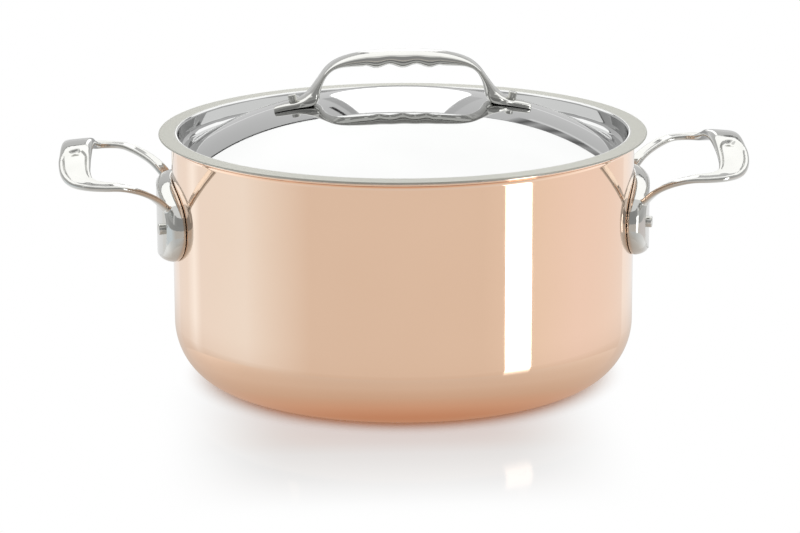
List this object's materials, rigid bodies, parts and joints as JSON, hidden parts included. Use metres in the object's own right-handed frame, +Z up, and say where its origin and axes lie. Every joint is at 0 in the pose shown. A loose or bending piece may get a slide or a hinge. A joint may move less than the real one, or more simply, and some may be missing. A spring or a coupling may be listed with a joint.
{
  "type": "lidded copper stockpot",
  "caption": "Low round copper pot with a thin steel lining, cast steel loop handles riveted to its wall and a lift-off domed steel lid with a cast arch handle.",
  "frame": {"origin": "centre of the foot disc's underside", "axes": "+X through the right handle, -Y towards the viewer, +Z up"},
  "size_m": [0.3538, 0.2528, 0.1718],
  "materials": {
    "polished_copper": "polished copper",
    "polished_steel": "mirror-polished cast stainless steel",
    "lid_steel": "mirror-polished stainless sheet",
    "lining_steel": "satin stainless lining",
    "base_steel": "fine brushed magnetic steel"
  },
  "bodies": {
    "pot": {"copper_shell": "polished_copper", "steel_lining": "lining_steel", "base_disc": "base_steel", "right_handle": "polished_steel", "right_front_rivet": "polished_steel", "right_rear_rivet": "polished_steel", "left_handle": "polished_steel", "left_front_rivet": "polished_steel", "left_rear_rivet": "polished_steel"},
    "lid": {"lid_shell": "lid_steel", "lid_handle": "polished_steel", "lid_left_rivet": "polished_steel", "lid_right_rivet": "polished_steel"}
  },
  "joints": [
    {"name": "lid_lift", "type": "slide", "parent": "pot", "child": "lid", "axis": [0, 0, 1], "range_m": [0, 0.2]}
  ]
}
